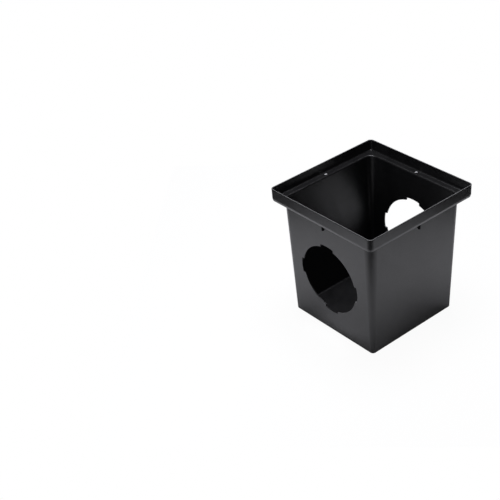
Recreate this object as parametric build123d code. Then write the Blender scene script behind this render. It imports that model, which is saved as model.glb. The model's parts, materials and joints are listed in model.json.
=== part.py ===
"""Catch basin: a square moulded plastic box with a raised rim that a grate drops into.

The frame stands on the base, origin at the middle of the underside, +Z up.
Both pipe openings lie on the Y axis, and the X walls are plain.
"""
from build123d import *
from math import cos, radians, tan
import os

# Whole body, outside
basin_height = 323.0
rim_width = 311.0
rim_height = 30.0
rim_draft = 1.0
wall_draft = 2.3

# Bevel round the outside of the rim's lower edge
rim_bevel_height = 6.0
rim_bevel_draft = 15.0

# Moulded sections
rim_wall = 3.0
body_wall = 3.0
ledge_thickness = 4.5
floor_thickness = 3.5

# Width of the ledge that the grate rests on, from the rim's wall to the cavity
ledge_width = 16.5

# Draft of the recess that the grate drops into
recess_draft = 2.5

# Corner radii in plan, each at the foot of its block
base_corner_radius = 8.0
cavity_corner_radius = 5.2
rim_corner_radius = 8.5
recess_corner_radius = 5.7

# Radii of the edges
base_edge_radius = 1.5
cavity_edge_radius = 4.0
ledge_root_radius = 3.0
ledge_nose_radius = 3.5
rim_underside_radius = 2.5
rim_top_radius = 0.9
rim_bevel_radius = 12.0
rim_lower_radius = 1.5

# Pipe openings, with the notches that let an adapter's lugs through
opening_diameter = 164.0
opening_centre_height = 142.5
notch_count = 4
notch_width = 39.0
notch_depth = 6.0

# Screw bosses under the middle of the ledge, one on each side
boss_count = 4
boss_diameter = 6.0
boss_length = 17.0
boss_end_radius = 0.8
boss_rib = 2.0
screw_bore = 3.0
screw_lead_in = 1.3

# How near an edge must lie to a stated place to be picked for rounding
pick_slack = 0.05

# Heights and half widths worked out from the sizes above
rim_bottom = basin_height - rim_height
ledge_top = rim_bottom + ledge_thickness
rim_bevel_top = rim_bottom + rim_bevel_height
rim_slope = tan(radians(rim_draft))
bevel_slope = tan(radians(rim_bevel_draft))
recess_slope = tan(radians(recess_draft))
wall_slope = tan(radians(wall_draft))
rim_bevel_half = rim_width / 2 - (basin_height - rim_bevel_top) * rim_slope
rim_foot_half = rim_bevel_half - rim_bevel_height * bevel_slope
recess_foot_half = rim_width / 2 - rim_wall - (basin_height - ledge_top) * recess_slope
cavity_top_half = recess_foot_half - ledge_width
wall_across = body_wall / cos(radians(wall_draft))
base_half = cavity_top_half + wall_across - ledge_top * wall_slope
boss_offset = recess_foot_half - ledge_width / 2


def body_half(height):
    """Half of the body's outside width at a height above its underside."""
    return base_half + height * wall_slope


def drafted_block(half, corner_radius, bottom, top, draft):
    """A rounded square block that widens upwards by the mould's draft."""
    outline = Plane.XY.offset(bottom) * RectangleRounded(2 * half, 2 * half, corner_radius)
    return extrude(outline, amount=top - bottom, taper=-draft)


def edges_at(shape, height):
    """Edges that lie flat at one height."""
    def is_flat(edge):
        box = edge.bounding_box()
        return abs(box.min.Z - height) < pick_slack and abs(box.max.Z - height) < pick_slack
    return shape.edges().filter_by(is_flat)


def ring_at(shape, height, half, corner_radius):
    """Edges of the rounded square of one size at one height."""
    corner_inset = corner_radius * (1 - cos(radians(45)))

    def is_on_ring(edge):
        middle = edge.position_at(0.5)
        reach = max(abs(middle.X), abs(middle.Y))
        return half - corner_inset - pick_slack < reach < half + pick_slack
    return edges_at(shape, height).filter_by(is_on_ring)


def body_block():
    """Outside of the body, from the underside up into the ledge."""
    top = rim_bottom + ledge_thickness / 2
    block = drafted_block(base_half, base_corner_radius, 0, top, wall_draft)
    return fillet(edges_at(block, 0), base_edge_radius)


def rim_block():
    """Outside of the rim, a steep face that stands on the bevel."""
    bevel = drafted_block(rim_foot_half, rim_corner_radius, rim_bottom, rim_bevel_top, rim_bevel_draft)
    face_corner = rim_corner_radius + rim_bevel_height * bevel_slope
    face = drafted_block(rim_bevel_half, face_corner, rim_bevel_top, basin_height, rim_draft)
    block = bevel + face
    block = fillet(edges_at(block, rim_bevel_top), rim_bevel_radius)
    block = fillet(edges_at(block, rim_bottom), rim_lower_radius)
    return fillet(edges_at(block, basin_height), rim_top_radius)


def cavity_block():
    """The space inside the body, from the floor up through the ledge."""
    half = body_half(floor_thickness) - wall_across
    block = drafted_block(half, cavity_corner_radius, floor_thickness, ledge_top, wall_draft)
    return fillet(edges_at(block, floor_thickness), cavity_edge_radius)


def recess_block():
    """The space inside the rim that the grate drops into."""
    block = drafted_block(recess_foot_half, recess_corner_radius, ledge_top, basin_height, recess_draft)
    return fillet(edges_at(block, ledge_top), ledge_root_radius)


def shell():
    """Body, ledge and rim in one wall, with their edges rounded."""
    body = body_block() + rim_block()
    root_corner = base_corner_radius + rim_bottom * wall_slope
    body = fillet(ring_at(body, rim_bottom, body_half(rim_bottom), root_corner), rim_underside_radius)
    body = body - cavity_block() - recess_block()
    nose_corner = cavity_corner_radius + (ledge_top - floor_thickness) * wall_slope
    body = fillet(ring_at(body, ledge_top, cavity_top_half, nose_corner), ledge_nose_radius)
    recess_growth = (basin_height - ledge_top) * recess_slope
    lip = ring_at(body, basin_height, recess_foot_half + recess_growth, recess_corner_radius + recess_growth)
    return fillet(lip, rim_top_radius)


def pipe_openings():
    """Cutter for the round openings in both Y walls, each with its lug notches."""
    radius = opening_diameter / 2
    outline = Circle(radius)
    for spot in PolarLocations(0, notch_count):
        notch = spot * Pos(radius, 0) * Rectangle(opening_diameter, notch_width)
        outline += notch & Circle(radius + notch_depth)
    outline = Plane.XZ * Pos(0, opening_centre_height) * outline
    return extrude(outline, amount=rim_width, both=True)


def boss_places():
    """Screw axes at the middles of the four sides, each with its X pointing outwards."""
    return PolarLocations(boss_offset, boss_count)


def screw_bosses():
    """Posts for the grate's screws, hung from the ledge and ribbed to the wall."""
    low = rim_bottom - boss_length
    top = rim_bottom + ledge_thickness / 2
    post = extrude(Plane.XY.offset(low) * Circle(boss_diameter / 2), amount=top - low)
    post = fillet(edges_at(post, low), boss_end_radius)
    rib_low = low + boss_end_radius
    rib_depth = boss_offset - body_half(rib_low) + body_wall / 2
    rib_align = (Align.MAX, Align.CENTER, Align.MIN)
    rib = Pos(0, 0, rib_low) * Box(rib_depth, boss_rib, top - rib_low, align=rib_align)
    return [place * (post + rib) for place in boss_places()]


def screw_holes():
    """Pilot holes through the ledge and the bosses, each with a lead-in at the ledge."""
    depth = ledge_top - rim_bottom + boss_length
    radius = screw_bore / 2
    below = (Align.CENTER, Align.CENTER, Align.MAX)
    hole = Cylinder(radius, depth, align=below) + Cone(radius, radius + screw_lead_in, screw_lead_in, align=below)
    return [place * Pos(0, 0, ledge_top) * hole for place in boss_places()]


def basin_body():
    """The whole moulding."""
    body = shell() - pipe_openings()
    body = body + screw_bosses()
    return body - screw_holes()


os.makedirs("parts", exist_ok=True)
export_step(basin_body(), "parts/basin_body.step")
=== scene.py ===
import json
import math

import bpy
from mathutils import Matrix, Vector


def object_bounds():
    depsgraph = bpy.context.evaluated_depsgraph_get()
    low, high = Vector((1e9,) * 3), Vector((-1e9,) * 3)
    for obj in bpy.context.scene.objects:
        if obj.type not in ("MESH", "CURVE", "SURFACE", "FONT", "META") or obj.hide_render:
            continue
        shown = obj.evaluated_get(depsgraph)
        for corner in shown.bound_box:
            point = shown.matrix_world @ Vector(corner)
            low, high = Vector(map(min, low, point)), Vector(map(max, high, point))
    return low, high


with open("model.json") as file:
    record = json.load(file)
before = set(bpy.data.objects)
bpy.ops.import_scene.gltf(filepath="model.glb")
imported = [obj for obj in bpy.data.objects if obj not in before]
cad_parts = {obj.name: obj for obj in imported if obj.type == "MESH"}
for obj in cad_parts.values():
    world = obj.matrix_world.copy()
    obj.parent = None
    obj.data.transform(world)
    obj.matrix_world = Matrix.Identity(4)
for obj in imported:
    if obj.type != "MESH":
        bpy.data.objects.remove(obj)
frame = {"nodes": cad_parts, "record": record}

cad_low, cad_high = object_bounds()

# Basin body: the whole catch basin, with its rim, its ledge, its notched pipe openings and the
# screw bosses under the ledge. It is one injection moulding in black polyethylene, and the mould's
# finely blasted steel leaves it satin. It keeps the solid's own mesh.
basin = frame["nodes"]["basin_body"]
mm = 0.001
polyethylene_ior = 1.54
deep_black = (0.0038, 0.0038, 0.0041, 1)
flow_black = (0.0052, 0.0052, 0.0055, 1)
# Painted highlight: the pale grey round each screw hole's lead-in.
painted_highlight_grey = (0.38, 0.38, 0.385, 1)
polished_roughness = 0.28
dulled_roughness = 0.35
outside_gloss = 0.5
inside_gloss = 0.26
# Painted shade: the screw posts' gloss, low enough to show them nearly black.
painted_shade_post_gloss = 0.04
turned_inwards = (-0.06, -0.02)
noise_middle = (0.3, 0.7)
streak_waves = 26
streak_stretch = 0.22
streak_waver = 0.8
streak_detail = 4
least_streak_wear = 0.6
handling_waves = 95
handling_detail = 6
least_handling_wear = 0.5
sink_waves = 13
sink_detail = 1
sink_depth = 0.3 * mm
grain_waves = 1300
grain_detail = 2
grain_depth = 0.03 * mm
# How far the painted highlight reaches round each screw's axis.
painted_highlight_reach = 3.1 * mm
# How far the painted shade reaches round each post's axis.
painted_shade_post_reach = 3.7 * mm

plastic = bpy.data.materials.new("satin_black_polyethylene")
plastic.use_nodes = True
plastic_tree = plastic.node_tree
plastic_shader = plastic_tree.nodes["Principled BSDF"]
plastic_shader.inputs["IOR"].default_value = polyethylene_ior
plastic_shader.inputs["Metallic"].default_value = 0


def feed(tree, socket, term):
    """Gives a socket a number, a colour or another node's output."""
    if isinstance(term, bpy.types.NodeSocket):
        tree.links.new(term, socket)
    else:
        socket.default_value = term


def reckon(tree, operation, *terms):
    """Sum on values that differ over the surface; each term is a number or a node's output."""
    node = tree.nodes.new("ShaderNodeMath")
    node.operation = operation
    for socket, term in zip(node.inputs, terms):
        feed(tree, socket, term)
    return node.outputs["Value"]


def mixed(tree, kind, factor, first, second):
    """Mix of two colours or of two numbers, by a factor that differs over the surface."""
    node = tree.nodes.new("ShaderNodeMix")
    node.data_type = kind
    feed(tree, node.inputs["Factor"], factor)
    feed(tree, node.inputs["A"], first)
    feed(tree, node.inputs["B"], second)
    return node.outputs["Result"]


def noise(tree, place, waves, detail, waver=0):
    """Noise over a place on the surface, with so many waves in each metre."""
    node = tree.nodes.new("ShaderNodeTexNoise")
    node.inputs["Scale"].default_value = waves
    node.inputs["Detail"].default_value = detail
    node.inputs["Distortion"].default_value = waver
    tree.links.new(place, node.inputs["Vector"])
    return node.outputs["Fac"]


def spread(tree, value, low, high, span=noise_middle):
    """A value's span, stretched to run from low to high and held there beyond it."""
    node = tree.nodes.new("ShaderNodeMapRange")
    node.inputs["From Min"].default_value, node.inputs["From Max"].default_value = span
    node.inputs["To Min"].default_value = low
    node.inputs["To Max"].default_value = high
    tree.links.new(value, node.inputs["Value"])
    return node.outputs["Result"]


def relief(tree, height, depth, under=None):
    """Bump of one depth in metres, laid over another."""
    node = tree.nodes.new("ShaderNodeBump")
    node.inputs["Distance"].default_value = depth
    tree.links.new(height, node.inputs["Height"])
    if under is not None:
        tree.links.new(under, node.inputs["Normal"])
    return node.outputs["Normal"]


surface = plastic_tree.nodes.new("ShaderNodeTexCoord")
surface_place = surface.outputs["Object"]
surface_axes = plastic_tree.nodes.new("ShaderNodeSeparateXYZ")
plastic_tree.links.new(surface_place, surface_axes.inputs["Vector"])
surface_height = surface_axes.outputs["Z"]

# The melt ran up the walls from the gate under the floor, and its streaks stand upright.
streak_place = plastic_tree.nodes.new("ShaderNodeMapping")
streak_place.inputs["Scale"].default_value = (1, 1, streak_stretch)
plastic_tree.links.new(surface_place, streak_place.inputs["Vector"])
streaks = noise(plastic_tree, streak_place.outputs["Vector"], streak_waves, streak_detail, streak_waver)
tone = mixed(plastic_tree, "RGBA", spread(plastic_tree, streaks, 0, 1), deep_black, flow_black)

# The surface is duller where it was handled and where the streaks lie.
handling = noise(plastic_tree, surface_place, handling_waves, handling_detail)
streak_wear = spread(plastic_tree, streaks, least_streak_wear, 1)
handling_wear = spread(plastic_tree, handling, least_handling_wear, 1)
worn = reckon(plastic_tree, "MULTIPLY", streak_wear, handling_wear)
roughness = spread(plastic_tree, worn, polished_roughness, dulled_roughness)
plastic_tree.links.new(roughness, plastic_shader.inputs["Roughness"])

# The pilot holes for the grate's screws stand round the ledge, one at the middle of each side. A pale
# grey is painted round each hole's lead-in as a painted highlight, and each hole's post hangs under the
# ledge.
screws = next(mount for mount in frame["record"]["mounts"] if mount["name"] == "grate_screws")
screw_reach = screws["dims"]["pcd_mm"] / 2 * mm
ledge_middle = screws["pos_m"][2]
sideways = [reckon(plastic_tree, "ABSOLUTE", surface_axes.outputs[axis]) for axis in "XY"]
past_screw = reckon(plastic_tree, "SUBTRACT", reckon(plastic_tree, "MAXIMUM", *sideways), screw_reach)
beside_screw = reckon(plastic_tree, "MINIMUM", *sideways)
squares = [reckon(plastic_tree, "POWER", part, 2) for part in (past_screw, beside_screw)]
screw_distance = reckon(plastic_tree, "SQRT", reckon(plastic_tree, "ADD", *squares))


def round_screws(reach, side):
    """Where the surface lies within a reach of a screw's axis and above or below the ledge's middle."""
    near_screw = reckon(plastic_tree, "LESS_THAN", screw_distance, reach)
    on_side = reckon(plastic_tree, side, surface_height, ledge_middle)
    return reckon(plastic_tree, "MULTIPLY", near_screw, on_side)


# Painted highlight: pale grey on the surface round each screw's axis, above the ledge's middle.
painted_highlight_on_lip = round_screws(painted_highlight_reach, "GREATER_THAN")
tone_with_painted_highlight = mixed(plastic_tree, "RGBA", painted_highlight_on_lip, tone, painted_highlight_grey)
plastic_tree.links.new(tone_with_painted_highlight, plastic_shader.inputs["Base Color"])

# The faces that look inwards get less gloss than those that look outwards, so the insides show darker.
# The posts under the ledge get almost no gloss, which shows them nearly black: painted shade under the
# ledge. A place with its height left out gives the way outwards from the basin's upright axis.
height_left_out = (1, 1, 0)
outwards = plastic_tree.nodes.new("ShaderNodeVectorMath")
outwards.operation = "MULTIPLY"
outwards.inputs[1].default_value = height_left_out
plastic_tree.links.new(surface_place, outwards.inputs[0])
facing = plastic_tree.nodes.new("ShaderNodeVectorMath")
facing.operation = "DOT_PRODUCT"
plastic_tree.links.new(outwards.outputs["Vector"], facing.inputs[0])
plastic_tree.links.new(surface.outputs["Normal"], facing.inputs[1])
wall_gloss = spread(plastic_tree, facing.outputs["Value"], inside_gloss, outside_gloss, turned_inwards)
# Painted shade: the posts round each screw's axis, below the ledge's middle, get almost no gloss.
painted_shade_on_post = round_screws(painted_shade_post_reach, "LESS_THAN")
gloss_with_painted_post_shade = mixed(plastic_tree, "FLOAT", painted_shade_on_post, wall_gloss, painted_shade_post_gloss)
plastic_tree.links.new(gloss_with_painted_post_shade, plastic_shader.inputs["Specular IOR Level"])

# The walls sank a little as they cooled, and the blasted steel left its fine grain on them.
sinks = noise(plastic_tree, surface_place, sink_waves, sink_detail)
grain = noise(plastic_tree, surface_place, grain_waves, grain_detail)
sunk = relief(plastic_tree, sinks, sink_depth)
plastic_tree.links.new(relief(plastic_tree, grain, grain_depth, sunk), plastic_shader.inputs["Normal"])

for material_slot in basin.material_slots:
    material_slot.material = plastic

# Paper sheet: a sheet of matt white card, about 1.1 m wide, that the basin stands on. It lies loose
# on the floor, square to the camera. The plastic's gloss mirrors it in the near walls, with the soft
# shade that the basin throws on it.
sheet_left = -0.57
sheet_right = 0.56
sheet_before = 0.467
sheet_behind = 0.70
sheet_turn = math.radians(45.79)
paper_gap = 0.3 * mm
paper_white = (0.90, 0.90, 0.90, 1)
paper_to_camera = 0.95
paper_to_gloss = 0.03


def flat_sheet(name, corners, height):
    """A level four-sided sheet."""
    mesh = bpy.data.meshes.new(name)
    mesh.from_pydata([(x, y, height) for x, y in corners], [], [(0, 1, 2, 3)])
    sheet = bpy.data.objects.new(name, mesh)
    bpy.context.scene.collection.objects.link(sheet)
    return sheet


def lift_to_white(tree, plain, white, to_camera, to_gloss, output):
    """Blends a plain shader with a white one, by a share for the camera and glass and one for gloss."""
    path = tree.nodes.new("ShaderNodeLightPath")
    white_share = 0
    for ray, share in (("Camera", to_camera), ("Transmission", to_camera), ("Glossy", to_gloss)):
        white_share = reckon(tree, "MULTIPLY_ADD", path.outputs[f"Is {ray} Ray"], share, white_share)
    blend = tree.nodes.new("ShaderNodeMixShader")
    tree.links.new(white_share, blend.inputs["Fac"])
    tree.links.new(plain, blend.inputs[1])
    tree.links.new(white, blend.inputs[2])
    tree.links.new(blend.outputs["Shader"], tree.nodes.new(output).inputs["Surface"])


def matt_backing(name, colour, to_camera, to_gloss):
    """Matt material that is lifted to plain white by a share for each kind of ray."""
    material = bpy.data.materials.new(name)
    material.use_nodes = True
    tree = material.node_tree
    tree.nodes.clear()
    matt = tree.nodes.new("ShaderNodeBsdfDiffuse")
    matt.inputs["Color"].default_value = colour
    white = tree.nodes.new("ShaderNodeEmission")
    lift_to_white(tree, matt.outputs["BSDF"], white.outputs["Emission"], to_camera, to_gloss,
                  "ShaderNodeOutputMaterial")
    return material


turned = Matrix.Rotation(sheet_turn, 2)
sheet_corners = [turned @ Vector(corner) for corner in (
    (sheet_left, sheet_behind),
    (sheet_left, -sheet_before),
    (sheet_right, -sheet_before),
    (sheet_right, sheet_behind),
)]
paper_sheet = flat_sheet("paper_sheet", sheet_corners, -paper_gap)
paper_sheet.data.materials.append(matt_backing("white_card", paper_white, paper_to_camera, paper_to_gloss))

# Studio floor: the dark matt floor that the sheet lies on, as wide as the room. It shows plain white
# to the camera, and stays dark in the plastic's gloss.
floor_reach = 8
floor_dark = (0.03, 0.03, 0.03, 1)
floor_to_camera = 1
floor_to_gloss = 0.02
floor_corners = [(x * floor_reach, y * floor_reach) for x, y in ((-1, -1), (1, -1), (1, 1), (-1, 1))]
studio_floor = flat_sheet("studio_floor", floor_corners, -2 * paper_gap)
studio_floor.data.materials.append(
    matt_backing("dark_studio_floor", floor_dark, floor_to_camera, floor_to_gloss))

# Studio light: a dim room whose walls show plain white to the camera, and three square softboxes
# that hang round the basin's middle and face it. Each has a name, its bearing and height in degrees,
# and its power in watts.
room_light = 0.05
plain_white = 1
room_to_camera = 1
room_to_gloss = 0.02
daylight = (0.985, 0.985, 1.045)
softbox_distance = 1.6
softbox_width = 0.8
softboxes = [
    ("overhead_softbox", 235, 86, 28.5),
    ("front_left_softbox", 0.8, 30, 8),
    ("back_softbox", 225.8, 30, 6),
]
basin_middle = (cad_low + cad_high) / 2


def wall_shade(tree, strength):
    """Even white light of one strength from the room's walls."""
    shade = tree.nodes.new("ShaderNodeBackground")
    shade.inputs["Color"].default_value = (1, 1, 1, 1)
    shade.inputs["Strength"].default_value = strength
    return shade.outputs["Background"]


def direction(bearing, height):
    """Direction from the basin at a bearing, from -Y round towards +X, and a height in degrees."""
    turn, rise = math.radians(bearing), math.radians(height)
    return Vector((math.sin(turn) * math.cos(rise), -math.cos(turn) * math.cos(rise), math.sin(rise)))


room = bpy.data.worlds.new("dim_room")
room.use_nodes = True
room_tree = room.node_tree
room_tree.nodes.clear()
lift_to_white(room_tree, wall_shade(room_tree, room_light), wall_shade(room_tree, plain_white),
              room_to_camera, room_to_gloss, "ShaderNodeOutputWorld")
bpy.context.scene.world = room

for name, bearing, height, watts in softboxes:
    lamp = bpy.data.lights.new(name, "AREA")
    lamp.shape = "SQUARE"
    lamp.size = softbox_width
    lamp.energy = watts
    lamp.color = daylight
    softbox = bpy.data.objects.new(name, lamp)
    away = direction(bearing, height)
    softbox.location = basin_middle + away * softbox_distance
    softbox.rotation_mode = "QUATERNION"
    softbox.rotation_quaternion = (-away).to_track_quat("-Z", "Y")
    bpy.context.scene.collection.objects.link(softbox)

bpy.context.scene.view_settings.view_transform = "Standard"

# Camera: it looks down on the corner between a pipe opening's wall and a plain wall. The basin's
# middle stands right of the picture's centre, and the camera leans a little to one side.
picture_side = 500
sensor_width = 36
focal_pixels = 1082.49
camera_bearing = 45.789
camera_height = 33.563
camera_lean = math.radians(-1.2577)
camera_distance = 2.4475
middle_across, middle_down = 371.80, 248.29

backward = direction(camera_bearing, camera_height)
rightward = Vector((0, 0, 1)).cross(backward).normalized()
upward = backward.cross(rightward)
facing_middle = Matrix((rightward, upward, backward))
sight = Vector((
    (middle_across - picture_side / 2) / focal_pixels,
    (picture_side / 2 - middle_down) / focal_pixels,
    -1,
)).normalized()
turn_aside = Vector((0, 0, -1)).rotation_difference(sight).to_matrix()
lean = Matrix.Rotation(camera_lean, 3, sight)

lens = bpy.data.cameras.new("camera")
lens.sensor_width = sensor_width
lens.lens = focal_pixels / picture_side * sensor_width
camera = bpy.data.objects.new("camera", lens)
camera.matrix_world = Matrix.LocRotScale(
    basin_middle + backward * camera_distance,
    (lean @ turn_aside @ facing_middle).transposed().to_quaternion(),
    None,
)
bpy.context.scene.collection.objects.link(camera)
bpy.context.scene.camera = camera
